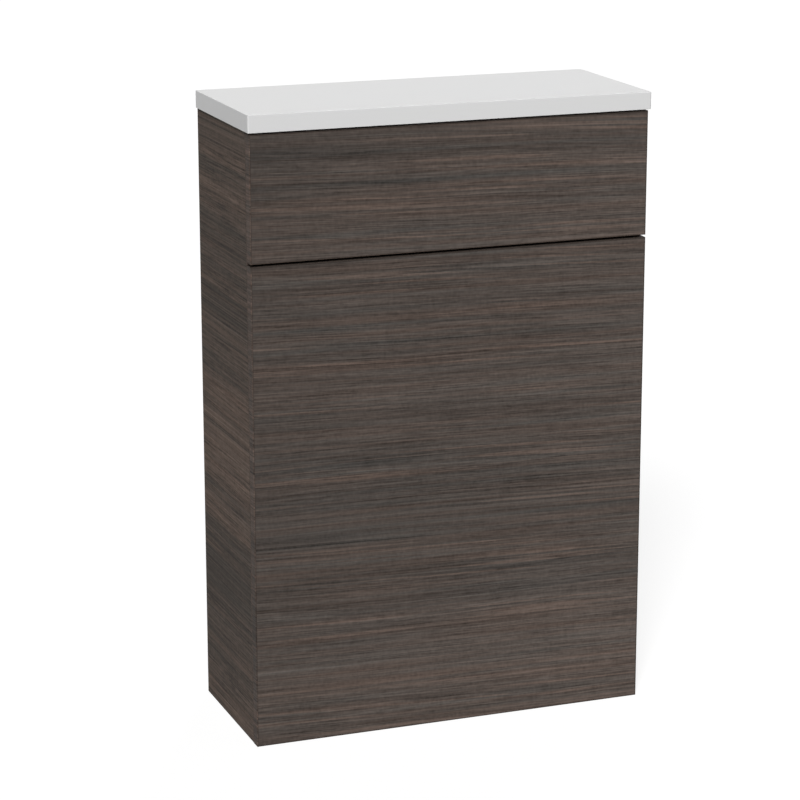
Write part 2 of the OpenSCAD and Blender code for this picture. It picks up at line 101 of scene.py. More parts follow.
# The node tree of a material or of the world: one method adds any node, and the others name the usual ones
class Bench:
    def __init__(self, owner):
        owner.use_nodes = True
        self.owner = owner
        self.tree = owner.node_tree

    def connect(self, socket, value):
        if isinstance(value, Wire):
            self.tree.links.new(value.socket, socket)
        else:
            socket.default_value = value

    def node(self, kind, settings, sockets, output=0):
        made = self.tree.nodes.new(kind)
        for name, value in settings.items():
            setattr(made, name, value)
        for name, value in sockets.items():
            self.connect(made.inputs[name], value)
        return Wire(self, made.outputs[output])

    def axes(self, output):
        place = self.node("ShaderNodeTexCoord", {}, {}, output)
        split = self.node("ShaderNodeSeparateXYZ", {}, {0: place})
        return [Wire(self, socket) for socket in split.socket.node.outputs]

    def vector(self, x, y, z):
        return self.node("ShaderNodeCombineXYZ", {}, {0: x, 1: y, 2: z})

    # A place in a piece, counted in cells: so many to the metre, alike or by axis
    def cells(self, spots, scales):
        if not isinstance(scales, tuple):
            scales = (scales, scales, scales)
        return self.vector(*[spot * scale for spot, scale in zip(spots, scales)])

    def noise(self, vector, detail=0.0, roughness=0.5):
        sockets = {"Vector": vector, "Scale": 1.0, "Detail": detail, "Roughness": roughness}
        return self.node("ShaderNodeTexNoise", {"noise_dimensions": "3D"}, sockets)

    def step(self, value, low, high):
        sockets = {"Value": value, "From Min": low, "From Max": high}
        return self.node("ShaderNodeMapRange", {"interpolation_type": "SMOOTHSTEP", "clamp": True}, sockets)

    def blend(self, share, first, second):
        return self.node("ShaderNodeMix", {"data_type": "RGBA"}, {0: share, 6: first, 7: second}, 2)

    def product(self, first, second):
        return self.node("ShaderNodeVectorMath", {"operation": "MULTIPLY"}, {0: first, 1: second})

    def scaled(self, vector, factor):
        return self.node("ShaderNodeVectorMath", {"operation": "SCALE"}, {0: vector, "Scale": factor})

    def bump(self, height, strength, distance):
        sockets = {"Height": height, "Strength": strength, "Distance": distance}
        return self.node("ShaderNodeBump", {}, sockets)

    def finish(self, **values):
        shader = self.tree.nodes["Principled BSDF"]
        for name, value in values.items():
            self.connect(shader.inputs[name.replace("_", " ")], value)
        return self.owner


def newMaterial(name):
    return Bench(bpy.data.materials.new(name))


# A colour as a picture shows it, 0 to 255, turned into the shader's own linear values
def shade(red, green, blue):
    def linear(level):
        level = level / 255
        return level / 12.92 if level <= 0.04045 else ((level + 0.055) / 1.055) ** 2.4
    return (linear(red), linear(green), linear(blue), 1.0)


# Grey-brown wood decor. A layer of grain is (cells a metre along, cells a metre across, strength). A patch
# is (cells along, cells across, level where it starts, level where it is full), and a line is (cells along,
# cells across, width, depth)
decorLook = {
    "cool": shade(69, 64.5, 61),
    "warm": shade(105, 93.5, 86.5),
    "mossy": (0.945, 1.02, 1.05, 1.0),
    "rosy": (1.06, 0.98, 0.94, 1.0),
    "drift": ((1.0, 2.4, 0.028), (3.2, 9.0, 0.005), (9.0, 24.0, 0.0016)),
    "bandSlope": 0.008, "fibreSlope": 0.028, "bandDrift": 0.15,
    "bands": ((0.2, 4.0, 0.64), (0.4, 9.0, 0.32), (0.5, 24.0, 0.18), (0.6, 49.0, 0.23), (0.7, 98.0, 0.40),
              (0.7, 195.0, 0.30)),
    "fibres": ((0.7, 290.0, 0.30), (5.0, 400.0, 0.22), (12.0, 800.0, 0.90), (60.0, 560.0, 0.52)),
    "hue": ((0.8, 40.0, 0.55), (1.8, 110.0, 1.1), (4.0, 230.0, 1.2)),
    "ripple": ((170.0, 45.0, 0.13), (330.0, 150.0, 0.20), (260.0, 330.0, 0.24)),
    "comb": ((0.7, 300.0, 1.0), (0.9, 620.0, 0.6)),
    "combPlaces": (0.5, 13.0, 0.52, 0.68), "combFade": 0.5,
    "lines": ((1.6, 70.0, 0.022, 0.20), (2.6, 170.0, 0.040, 0.12)),
    "linePlaces": (2.2, 16.0, 0.4, 0.62),
    "streaks": (4.0, 250.0, 0.56, 0.7), "streakPlaces": (1.4, 45.0, 0.44, 0.58),
    "streakColour": shade(117, 99, 89), "streakShare": 0.46,
    "specular": 0.03,
}

# What is added to a board's seed, so that no two layers of its decor fall alike
decorSeeds = {
    "drift": 0.3, "bands": 20.1, "fibres": 40.6, "hue": 60.2, "ripple": 80.9, "layerStep": 3.7,
    "lines": 90.4, "linePlaces": 95.8, "lineStep": 7.9, "comb": 100.7, "combPlaces": 110.3,
    "streaks": 120.5, "streakPlaces": 130.1,
}


# Sums a group's layers of noise about 0
def grain(bench, along, across, seed, group):
    total = 0.0
    for number, (lengthwise, crosswise, strength) in enumerate(decorLook[group]):
        layerSeed = seed + decorSeeds[group] + number * decorSeeds["layerStep"]
        place = bench.vector(along * lengthwise, across * crosswise, layerSeed)
        total = (bench.noise(place) - 0.5) * strength + total
    return total


# The places where one noise passes between two levels
def patches(bench, along, across, seed, group):
    lengthwise, crosswise, low, high = decorLook[group]
    place = bench.vector(along * lengthwise, across * crosswise, seed + decorSeeds[group])
    return bench.step(bench.noise(place), low, high)


# Long dark lines run where a noise crosses its middle
def darkLines(bench, along, across, seed):
    total = 0.0
    for number, (lengthwise, crosswise, width, depth) in enumerate(decorLook["lines"]):
        lineSeed = seed + decorSeeds["lines"] + number * decorSeeds["lineStep"]
        place = bench.vector(along * lengthwise, across * crosswise, lineSeed)
        crossing = abs(bench.noise(place) - 0.5)
        total = (1.0 - bench.step(crossing, 0.0, width)) * depth + total
    return total * patches(bench, along, across, seed, "linePlaces")


# How a board departs from the usual: strength of its bands, fibres and colours, tint, change of tone along
# the grain, slope of the grain, and the sides that carry edging, as (axis, direction)
usualBoard = {"bands": 1.0, "fibres": 1.0, "colours": 1.0, "tint": (1.0, 1.0, 1.0), "lean": 0.0, "slope": 1.0,
              "edged": ()}


def decorColour(bench, along, across, seed, board):
    drift = grain(bench, along, across, seed, "drift") * board["slope"]
    level = across + along * decorLook["bandSlope"] * board["slope"] + drift * decorLook["bandDrift"]
    height = across + along * decorLook["fibreSlope"] * board["slope"] + drift
    bands = grain(bench, along, level, seed, "bands")
    hue = grain(bench, along, level, seed, "hue")
    fibres = grain(bench, along, height, seed, "fibres")
    ripple = grain(bench, along, height, seed, "ripple")
    comb = grain(bench, along, height, seed, "comb")
    combPlaces = patches(bench, along, level, seed, "combPlaces")
    relief = fibres * (1.0 - combPlaces * decorLook["combFade"]) + comb * combPlaces + ripple
    relief = relief - darkLines(bench, along, height, seed)

    colour = bench.blend(bands * board["bands"] + 0.5, decorLook["cool"], decorLook["warm"])
    cast = bench.blend(hue * board["colours"] + 0.5, decorLook["mossy"], decorLook["rosy"])
    streaks = (patches(bench, along, height, seed, "streaks")
               * patches(bench, along, level, seed, "streakPlaces"))
    share = streaks * (decorLook["streakShare"] * board["colours"])
    colour = bench.blend(share, bench.product(colour, cast), decorLook["streakColour"])
    light = (relief * board["fibres"] + 1.0) * (along * board["lean"] + 1.0)
    return bench.scaled(bench.product(colour, board["tint"]), light), relief


# Raw particle board, where a board's edge or a drilled hole has no decor
chipLook = {
    "pale": shade(222, 200, 166), "dark": shade(176, 146, 108), "cells": 900.0, "flatness": 1.6,
    "flakeScale": 0.6, "dust": 0.6, "darkest": 0.1,
}


def chipColour(bench, spots, seed):
    x, y, z = [spot * chipLook["cells"] for spot in spots]
    place = bench.vector(x, y, z * chipLook["flatness"] + seed)
    sockets = {"Vector": place, "Scale": chipLook["flakeScale"]}
    flakes = bench.node("ShaderNodeTexVoronoi", {"feature": "F1"}, sockets, 1)
    tone = bench.node("ShaderNodeSeparateColor", {}, {0: flakes})
    dust = bench.noise(place, detail=3.0) - 0.5
    share = bench.step(tone + dust * chipLook["dust"], chipLook["darkest"], 1.0)
    return bench.blend(share, chipLook["dark"], chipLook["pale"]), share


# The glue line shows as a dark line where a board meets its edging
glueLine = {"width": 0.0009, "darkening": 0.55}


def glueShare(bench, node, spots, edged):
    low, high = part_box(node)
    share = 0.0
    for axis, side in edged:
        inside = (high[axis] - spots[axis]) if side > 0 else (spots[axis] - low[axis])
        line = 1.0 - bench.step(inside, 0.0, glueLine["width"])
        share = bench.node("ShaderNodeMath", {"operation": "MAXIMUM"}, {0: share, 1: line})
    return share


# A board has decor on the two faces square to one axis, and raw edges
boardLook = {
    "roughness": 0.62, "rawRoughness": 0.2, "grainRoughness": 0.1, "bump": 0.25, "bumpDepth": 0.0003,
    "faceTurn": 0.7,
}


def boardMaterial(node, grainAxis, faceAxis, seed, changes):
    board = {**usualBoard, **changes}
    bench = newMaterial("decor of the " + node.replace("_", " "))
    spots = bench.axes("Object")
    decorated = abs(bench.axes("Normal")[faceAxis]) > boardLook["faceTurn"]
    bare = 1.0 - decorated
    colour, relief = decorColour(bench, spots[grainAxis], spots[2], seed, board)
    if board["edged"]:
        glue = glueShare(bench, node, spots, board["edged"])
        colour = bench.scaled(colour, 1.0 - glue * glueLine["darkening"])
    raw, grit = chipColour(bench, spots, seed)
    roughness = boardLook["roughness"] + bare * boardLook["rawRoughness"]
    return bench.finish(
        Base_Color=bench.blend(decorated, raw, colour),
        Roughness=roughness + relief * boardLook["grainRoughness"],
        Normal=bench.bump(relief * decorated + grit * bare, boardLook["bump"], boardLook["bumpDepth"]),
        Specular_IOR_Level=decorLook["specular"],
    )


# Edging strips carry the same decor, printed a little darker and stronger, with its lines level
edgingBoard = {**usualBoard, "bands": 1.8, "fibres": 1.5, "colours": 0.7, "tint": (0.971, 0.928, 0.912)}
edgingLook = {"roughness": 0.55, "grainRoughness": 0.1, "bump": 0.2, "bumpDepth": 0.0002}


def edgingMaterial(name, seed):
    bench = newMaterial(name)
    _, along, across = bench.axes("Object")
    colour, relief = decorColour(bench, along, across, seed, edgingBoard)
    return bench.finish(
        Base_Color=colour,
        Roughness=edgingLook["roughness"] + relief * edgingLook["grainRoughness"],
        Normal=bench.bump(relief, edgingLook["bump"], edgingLook["bumpDepth"]),
        Specular_IOR_Level=decorLook["specular"],
    )


# Satin white lacquer, with a faint orange peel and specks of dust
lacquerLook = {
    "cool": shade(230, 230, 231), "warm": shade(233, 233, 232), "cloudCells": 9.0, "cloudRoughness": 0.08,
    "dust": shade(180, 178, 172), "dustCells": 900.0, "dustFrom": 0.68, "dustTo": 0.8, "dustShare": 0.06,
    "dustRoughness": 0.1, "peelCells": 420.0, "peelBump": 0.05, "peelDepth": 0.0002,
    "roughness": 0.36, "specular": 0.2,
}


def lacquerMaterial():
    look = lacquerLook
    bench = newMaterial("satin white lacquer")
    spots = bench.axes("Object")
    cloud = bench.noise(bench.cells(spots, look["cloudCells"]), detail=3.0)
    peel = bench.noise(bench.cells(spots, look["peelCells"]), detail=2.0)
    speck = bench.noise(bench.cells(spots, look["dustCells"]), detail=1.0)
    dust = bench.step(speck, look["dustFrom"], look["dustTo"])
    colour = bench.blend(cloud, look["cool"], look["warm"])
    return bench.finish(
        Base_Color=bench.blend(dust * look["dustShare"], colour, look["dust"]),
        Roughness=look["roughness"] + cloud * look["cloudRoughness"] + dust * look["dustRoughness"],
        Normal=bench.bump(peel, look["peelBump"], look["peelDepth"]),
        Specular_IOR_Level=look["specular"],
    )


# Plain beech, with its grain along one axis and short dark flecks
beechLook = {
    "pale": shade(226, 192, 146), "dark": shade(205, 164, 116), "fleck": shade(150, 104, 66),
    "cellsAlong": 120.0, "cellsAcross": 1600.0, "fleckScale": 2.2, "fleckFrom": 0.6, "fleckTo": 0.7,
    "fleckShare": 0.5, "roughness": 0.6, "grainRoughness": 0.15, "bump": 0.3, "bumpDepth": 0.0002,
}


def beechMaterial(name, grainAxis):
    look = beechLook
    bench = newMaterial(name)
    scales = tuple(look["cellsAlong"] if axis == grainAxis else look["cellsAcross"] for axis in range(3))
    place = bench.cells(bench.axes("Object"), scales)
    lines = bench.noise(place, detail=3.0)
    speck = bench.noise(bench.scaled(place, look["fleckScale"]), detail=1.0)
    flecks = bench.step(speck, look["fleckFrom"], look["fleckTo"])
    colour = bench.blend(lines, look["dark"], look["pale"])
    return bench.finish(
        Base_Color=bench.blend(flecks * look["fleckShare"], colour, look["fleck"]),
        Roughness=look["roughness"] + lines * look["grainRoughness"],
        Normal=bench.bump(lines - flecks, look["bump"], look["bumpDepth"]),
    )


# Zinc, cast or plated: spangled from pale to dark, and stained here and there
metalLook = {
    "spangleCoarseness": 0.6, "spangleFrom": 0.3, "spangleTo": 0.7,
    "stainCells": 60.0, "stainFrom": 0.45, "stainTo": 0.7, "stainShare": 0.35,
    "metallic": 0.95, "dulling": 0.1, "bumpDepth": 0.0002,
}


def metalMaterial(name, pale, dark, cells, roughness, bump):
    look = metalLook
    bench = newMaterial(name)
    spots = bench.axes("Object")
    spangle = bench.noise(bench.cells(spots, cells), detail=4.0, roughness=look["spangleCoarseness"])
    share = bench.step(spangle, look["spangleFrom"], look["spangleTo"])
    cloud = bench.noise(bench.cells(spots, look["stainCells"]), detail=2.0)
    stain = bench.step(cloud, look["stainFrom"], look["stainTo"])
    return bench.finish(
        Base_Color=bench.blend(stain * look["stainShare"], bench.blend(share, dark, pale), dark),
        Metallic=look["metallic"] - stain * look["dulling"],
        Roughness=roughness + share * look["dulling"] + stain * look["dulling"],
        Normal=bench.bump(spangle, bump, look["bumpDepth"]),
    )


# Moulded plastic with a fine spark-eroded grain and faint lines of flow
plasticLook = {
    "pitCells": 2600.0, "pitRoughness": 0.12, "bump": 0.12, "bumpDepth": 0.0001,
    "flowCells": (45.0, 45.0, 130.0), "flowFrom": 0.3, "flowTo": 0.7, "glowDepth": 0.002,
}


def plasticMaterial(name, pale, dark, roughness, glow):
    look = plasticLook
    bench = newMaterial(name)
    spots = bench.axes("Object")
    pits = bench.noise(bench.cells(spots, look["pitCells"]), detail=2.0)
    flow = bench.noise(bench.cells(spots, look["flowCells"]), detail=2.0)
    return bench.finish(
        Base_Color=bench.blend(bench.step(flow, look["flowFrom"], look["flowTo"]), dark, pale),
        Roughness=roughness + pits * look["pitRoughness"],
        Normal=bench.bump(pits, look["bump"], look["bumpDepth"]),
        Subsurface_Weight=glow,
        Subsurface_Scale=look["glowDepth"],
    )


materials = {
    "worktop": lacquerMaterial(),
    "pegs": beechMaterial("upright beech", 2),
    "dowels": beechMaterial("lying beech", 0),
    "castZinc": metalMaterial("cast zinc", pale=shade(190, 192, 196), dark=shade(150, 152, 158),
                              cells=500.0, roughness=0.42, bump=0.2),
    "plate": metalMaterial("zinc-plated sheet", pale=shade(206, 208, 211), dark=shade(168, 171, 177),
                           cells=220.0, roughness=0.32, bump=0.1),
    "steel": metalMaterial("bright zinc-plated steel", pale=shade(222, 221, 216), dark=shade(184, 184, 180),
                           cells=700.0, roughness=0.24, bump=0.1),
    "whiteNylon": plasticMaterial("off-white nylon", pale=shade(226, 225, 218), dark=shade(216, 214, 205),
                                  roughness=0.42, glow=0.15),
    "blackPlastic": plasticMaterial("black moulded plastic", pale=shade(38, 38, 40), dark=shade(30, 30, 32),
                                    roughness=0.45, glow=0.0),
}
print("materials mixed:", len(bpy.data.materials))


# Hand tools. They leave a piece in object mode, with its place in its mesh. Only editAll and editPoints leave
# it in edit mode, with what they picked selected, for the operators that come before leave
weldGap = 0.000002
softening = {"flat": 0.5, "sharp": 40, "steps": 2}  # degrees, degrees, steps of a broken edge


def leave():
    bpy.ops.object.mode_set(mode="OBJECT")


def deselect():
    if bpy.context.object and bpy.context.object.mode != "OBJECT":
        leave()
    bpy.ops.object.select_all(action="DESELECT")


def take(piece):
    deselect()
    piece.select_set(True)
    bpy.context.view_layer.objects.active = piece


def settle(piece):
    take(piece)
    bpy.ops.object.transform_apply(location=True, rotation=True, scale=True)
    return piece


def apply(piece, kind, **settings):
    take(piece)
    modifier = piece.modifiers.new(kind.title(), kind)
    for name, value in settings.items():
        setattr(modifier, name, value)
    bpy.ops.object.modifier_apply(modifier=modifier.name)


def smooth(piece, degrees=35):
    take(piece)
    bpy.ops.object.shade_smooth_by_angle(angle=math.radians(degrees))
    apply(piece, "WEIGHTED_NORMAL", keep_sharp=True)


def editAll(piece):
    take(piece)
    bpy.ops.object.mode_set(mode="EDIT")
    bpy.ops.mesh.select_all(action="SELECT")


def clearPicks(piece, mode):
    take(piece)
    bpy.context.tool_settings.mesh_select_mode = mode
    for part in (piece.data.vertices, piece.data.edges, piece.data.polygons):
        part.foreach_set("select", [False] * len(part))


def editPoints(piece, test):
    clearPicks(piece, (True, False, False))
    for vertex in piece.data.vertices:
        vertex.select = test(vertex.co)
    bpy.ops.object.mode_set(mode="EDIT")


def bevelEdges(piece, radius, steps, test):
    clearPicks(piece, (False, True, False))
    for edge in piece.data.edges:
        edge.select = test(*[piece.data.vertices[i].co for i in edge.vertices])
    bpy.ops.object.mode_set(mode="EDIT")
    bpy.ops.mesh.bevel(offset=radius, segments=steps, affect="EDGES")
    leave()


# Tests for an edge, by its two ends
def runsAlong(a, b, axis):
    return abs(a[axis] - b[axis]) > near


def liesAt(a, b, axis, place):
    return max(abs(a[axis] - place), abs(b[axis] - place)) < near


# Breaks all sharp edges
def breakEdges(piece, radius):
    apply(piece, "BEVEL", width=radius, segments=softening["steps"], limit_method="ANGLE",
          angle_limit=math.radians(softening["sharp"]))


# Cuts a piece with a tool, or keeps what is inside it, and throws the tool away
def carve(piece, tool, operation="DIFFERENCE"):
    apply(piece, "BOOLEAN", object=tool, operation=operation, solver="EXACT")
    bpy.data.objects.remove(tool)


def mend(piece):
    editAll(piece)
    bpy.ops.mesh.remove_doubles(threshold=weldGap)
    bpy.ops.mesh.normals_make_consistent(inside=False)
    leave()


# Names the primitive that was just added, and puts its place in its mesh
def keep(name):
    piece = bpy.context.object
    piece.name = name
    return settle(piece)


def block(name, low, high):
    deselect()
    low, high = Vector(low), Vector(high)
    bpy.ops.mesh.primitive_cube_add(size=1, location=(low + high) / 2, scale=high - low)
    return keep(name)


def tube(name, centre, radius, low, high, sides=48):
    deselect()
    place = (centre[0], centre[1], (low + high) / 2)
    bpy.ops.mesh.primitive_cylinder_add(vertices=sides, radius=radius, depth=high - low, location=place)
    return keep(name)


# Draws a line of points in the XZ plane: a tiny plane, merged to a point, is extruded to each next one
def profile(name, points):
    deselect()
    bpy.ops.mesh.primitive_plane_add(size=0.001, location=(points[0][0], 0, points[0][1]))
    piece = keep(name)
    editAll(piece)
    bpy.ops.mesh.merge(type="CENTER")
    for (x0, z0), (x1, z1) in zip(points, points[1:]):
        bpy.ops.mesh.extrude_region_move(TRANSFORM_OT_translate={"value": (x1 - x0, 0, z1 - z0)})
    leave()
    return piece


# Spins a profile, drawn about x = 0, into a round piece about +Z through a point
def lathe(name, points, centre=(0, 0, 0), steps=48):
    piece = profile(name, points)
    editAll(piece)
    bpy.ops.mesh.spin(steps=steps, angle=2 * math.pi, center=(0, 0, 0), axis=(0, 0, 1))
    leave()
    mend(piece)
    piece.location = centre
    return settle(piece)


def join(name, pieces):
    deselect()
    for piece in pieces:
        piece.select_set(True)
    bpy.context.view_layer.objects.active = pieces[0]
    if len(pieces) > 1:
        bpy.ops.object.join()
    pieces[0].name = name
    return pieces[0]


def copyOf(piece, shift=(0, 0, 0)):
    twin = piece.copy()
    twin.data = piece.data.copy()
    scene.collection.objects.link(twin)
    twin.location = shift
    return settle(twin)


# Sets a copy of a pattern, drawn with its upper end at the origin, on a place and along a direction
def placed(pattern, end, way):
    twin = copyOf(pattern)
    twin.rotation_mode = "QUATERNION"
    twin.rotation_quaternion = way.to_track_quat("Z", "Y")
    twin.location = end
    return settle(twin)


# One piece with the pattern on each place that loosePlaces found
def placeAll(name, pattern, places, degrees):
    piece = join(name, [placed(pattern, end, way) for end, way, _, _ in places])
    bpy.data.objects.remove(pattern)
    smooth(piece, degrees)
    return piece


def paint(piece, material):
    piece.data.materials.clear()
    piece.data.materials.append(material)


# Puts a piece in the place of a CAD node, on its body
def fit(piece, material, node):
    paint(piece, material)
    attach(piece, frame["nodes"][node]["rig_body"])
    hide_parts(node)


# A merged copy of a CAD node, as a start for a finished piece
def cadCopy(name, node):
    deselect()
    piece = frame["nodes"][node].copy()
    piece.data = frame["nodes"][node].data.copy()
    for key in list(piece.keys()):
        del piece[key]
    piece.parent = None
    piece.name = name
    scene.collection.objects.link(piece)
    mend(piece)
    return piece


# That copy with its sharp edges broken, as moulding, stamping or turning leaves them
def softened(name, node, radius, prepare=None):
    piece = cadCopy(name, node)
    editAll(piece)
    bpy.ops.mesh.dissolve_limited(angle_limit=math.radians(softening["flat"]))
    leave()
    if prepare:
        prepare(piece)
    breakEdges(piece, radius)
    smooth(piece)
    return piece


# Where each loose part of a CAD node ends, which way that end points, and the part's length and half width.
# The end is the one that faces the same way as outward, or the widest one
def loosePlaces(node, outward=None):
    whole = cadCopy("loose parts", node)
    editAll(whole)
    bpy.ops.mesh.separate(type="LOOSE")
    leave()
    places = []
    for part in list(bpy.context.selected_objects):
        points = [vertex.co.copy() for vertex in part.data.vertices]
        low = Vector([min(point[i] for point in points) for i in range(3)])
        high = Vector([max(point[i] for point in points) for i in range(3)])
        size, middle = high - low, (low + high) / 2
        axis = max(range(3), key=lambda i: size[i])
        beside = [i for i in range(3) if i != axis]
        widest = max(points, key=lambda point: math.hypot(*[point[i] - middle[i] for i in beside]))
        aim = outward(middle)[axis] if outward else widest[axis] - middle[axis]
        way = Vector([math.copysign(1, aim) if i == axis else 0 for i in range(3)])
        places.append((middle + way * size[axis] / 2, way, size[axis], size[beside[0]] / 2))
        bpy.data.objects.remove(part)
    return places


# Where the upright axis of a round CAD node stands
def axisOf(node):
    low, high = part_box(node)
    return ((low.x + high.x) / 2, (low.y + high.y) / 2)


# Presses flutes into an upright round piece, which has four sides to each flute
sidesToFlute = 4


def flute(piece, centre, radius, flutes, depth):
    def inFlute(point):
        x, y = point.x - centre[0], point.y - centre[1]
        side = round(math.atan2(y, x) / (2 * math.pi) * flutes * sidesToFlute)
        return math.hypot(x, y) > radius - near and side % sidesToFlute == 0

    editPoints(piece, inFlute)
    shrink = 1 - depth / radius
    bpy.ops.transform.resize(value=(shrink, shrink, 1), center_override=(centre[0], centre[1], 0))
    leave()


# Fluted hardwood pegs and dowels
pegShape = {"radius": 0.004, "chamfer": 0.001, "flutes": 14, "fluteDepth": 0.0003, "smooth": 20}


def flutedPeg(name, centre, low, high):
    peg = tube(name, centre, pegShape["radius"], low, high, pegShape["flutes"] * sidesToFlute)
    bevelEdges(peg, pegShape["chamfer"], 1, lambda a, b: not runsAlong(a, b, 2))
    flute(peg, centre, pegShape["radius"], pegShape["flutes"], pegShape["fluteDepth"])
    return peg


def pegCentres():
    low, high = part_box("worktop_pegs")
    radius = pegShape["radius"]
    return [(x, y) for x in (low.x + radius, high.x - radius) for y in (low.y + radius, high.y - radius)]


def makePegs():
    low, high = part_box("worktop_pegs")
    pegs = join("worktop_pegs_fluted", [flutedPeg("peg", centre, low.z, high.z) for centre in pegCentres()])
    smooth(pegs, pegShape["smooth"])
    fit(pegs, materials["pegs"], "worktop_pegs")


# Worktop: a board with soft lacquered edges, drilled for its pegs
worktopShape = {
    "cornerRadius": 0.002, "cornerSteps": 6, "upperRadius": 0.0007, "lowerRadius": 0.0004, "edgeSteps": 4,
    "holeFit": 0.00005, "holeDeeper": 0.0003, "drillStart": 0.01,
}


def makeWorktop():
    low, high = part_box("worktop")
    board = block("worktop_board", low, high)
    bevelEdges(board, worktopShape["cornerRadius"], worktopShape["cornerSteps"],
               lambda a, b: runsAlong(a, b, 2))
    for height, radius in ((high.z, worktopShape["upperRadius"]), (low.z, worktopShape["lowerRadius"])):
        bevelEdges(board, radius, worktopShape["edgeSteps"], lambda a, b: liesAt(a, b, 2, height))
    radius = pegShape["radius"] + worktopShape["holeFit"]
    bottom = low.z - worktopShape["drillStart"]
    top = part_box("worktop_pegs")[1].z + worktopShape["holeDeeper"]
    carve(board, join("drill", [tube("drill", centre, radius, bottom, top) for centre in pegCentres()]))
    smooth(board)
    fit(board, materials["worktop"], "worktop")


makeWorktop()
makePegs()
print("worktop made")


# Edging strips: their two long outer edges are rounded, and a fine joint parts one from the next
edgingShape = {"radius": 0.0007, "steps": 4, "joint": 0.0001}


# One strip, from corner to corner, with its outside towards +axis or -axis
def edgingStrip(low, high, axis, outside):
    strip = block("strip", low, high)
    longest = max(range(3), key=lambda i: high[i] - low[i])
    face = (high if outside > 0 else low)[axis]
    bevelEdges(strip, edgingShape["radius"], edgingShape["steps"],
               lambda a, b: runsAlong(a, b, longest) and liesAt(a, b, axis, face))
    return strip


# A front panel's strips: left, right, bottom and top
def frontStrips(panel, edging):
    (inLow, inHigh), (low, high) = panel, edging
    left, right = inLow.x + edgingShape["joint"], inHigh.x - edgingShape["joint"]
    return [edgingStrip(low, (inLow.x, high.y, high.z), 0, -1),
            edgingStrip((inHigh.x, low.y, low.z), high, 0, 1),
            edgingStrip((left, low.y, low.z), (right, high.y, inLow.z), 2, -1),
            edgingStrip((left, low.y, inHigh.z), (right, high.y, high.z), 2, 1)]


# A side panel's strips: front and bottom
def sideStrips(panel, edging):
    inLow, (low, high) = panel[0], edging
    behind = inLow.y + edgingShape["joint"]
    return [edgingStrip(low, (high.x, inLow.y, high.z), 1, -1),
            edgingStrip((low.x, behind, low.z), (high.x, high.y, inLow.z), 2, -1)]


def makeEdging(side, strips, seed):
    name, node = side + "_strips", side + "_edging"
    piece = join(name, strips(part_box(side + "_panel"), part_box(node)))
    smooth(piece)
    fit(piece, edgingMaterial(name.replace("_", " "), seed), node)


edgings = {  # how the strips are laid, and their seed
    "upper_front": (frontStrips, 61.0),
    "lower_front": (frontStrips, 67.0),
    "left_side": (sideStrips, 71.0),
    "right_side": (sideStrips, 73.0),
}
for side, settings in edgings.items():
    makeEdging(side, *settings)
print("edging made")


# Boards keep their CAD shape, and take the decor
frontBoard = {"tint": (0.996, 1.008, 1.028), "lean": 0.34, "edged": ((0, -1), (0, 1), (2, -1), (2, 1))}
# The side panels' decor is brighter and warmer than the front's, with stronger grain. This is partly painted
# light: it stands in for the sheen and the light on the side faces. The flatter slope of its grain and its
# edging are the board's own
sideBoardWithPaintedLight = {"bands": 2.6, "fibres": 1.55, "colours": 0.45, "tint": (1.107, 1.047, 0.997), "lean": -0.8,
             "slope": 0.3, "edged": ((1, -1), (2, -1))}
boards = {  # the axis of the grain, the axis that the decor faces, the seed, and what isn't as usual
    "upper_front_panel": (0, 1, 614.1, frontBoard),
    "lower_front_panel": (0, 1, 1029.5, frontBoard),
    "left_side_panel": (1, 0, 1648.6, sideBoardWithPaintedLight),
    "right_side_panel": (1, 0, 23.0, sideBoardWithPaintedLight),
    "top_front_rail": (0, 1, 31.0, {}),
    "mid_front_rail": (0, 1, 37.0, {}),
    "bottom_front_rail": (0, 1, 41.0, {}),
    "top_rear_rail": (0, 1, 43.0, {}),
    "bottom_rear_rail": (0, 1, 47.0, {}),
}
for node, settings in boards.items():
    paint(frame["nodes"][node], boardMaterial(node, *settings))
print("boards dressed")


# Dowels in the rail ends lie along X
def makeDowels():
    places = loosePlaces("wooden_dowels")
    length = places[0][2]
    pattern = flutedPeg("dowel", (0, 0), -length, 0)
    dowels = placeAll("wooden_dowels_fluted", pattern, places, pegShape["smooth"])
    fit(dowels, materials["dowels"], "wooden_dowels")


makeDowels()
print("dowels made")


# A thread's outline over one turn, as (share of the thread's depth, share of the pitch)
machineThread = ((0, 0.15), (1, 0.5), (1, 0.65), (0, 1))
woodThread = ((0, 0.45), (1, 0.7), (1, 0.76), (0, 1))


# A threaded rod about Z. It is wound past both heights, and then cut square there
def threadedRod(low, high, outer, depth, pitch, outline, steps):
    root = outer - depth
    spareTurns, turnsBelow = 2, 1.5
    turns = math.ceil((high - low) / pitch) + spareTurns
    points = [(root, 0)]
    for turn in range(turns):
        points += [(root + depth * out, (turn + up) * pitch) for out, up in outline]
    rod = profile("thread", points)
    apply(rod, "SCREW", axis="Z", screw_offset=pitch, angle=2 * math.pi, iterations=1, steps=steps,
          render_steps=steps, use_smooth_shade=False)
    rod.location.z = low - turnsBelow * pitch
    settle(rod)
    mend(rod)
    for height, up in ((low, -1), (high, 1)):
        editAll(rod)
        bpy.ops.mesh.bisect(plane_co=(0, 0, height), plane_no=(0, 0, up), use_fill=True, clear_outer=True)
        leave()
    mend(rod)
    return rod


# Levelling feet: a threaded stem with a spanner collar and a screwdriver slot
stemShape = {
    "radius": 0.004, "pitch": 0.00125, "depth": 0.0007, "turnSteps": 32, "chamfer": 0.0005,
    "collarHeight": 0.004, "collarAcrossFlats": 0.013, "collarGap": 0.0003, "collarEdge": 0.0004,
    "overlap": 0.001, "slotWidth": 0.00135, "slotDepth": 0.002, "slotReach": 0.01, "smooth": 30,
}


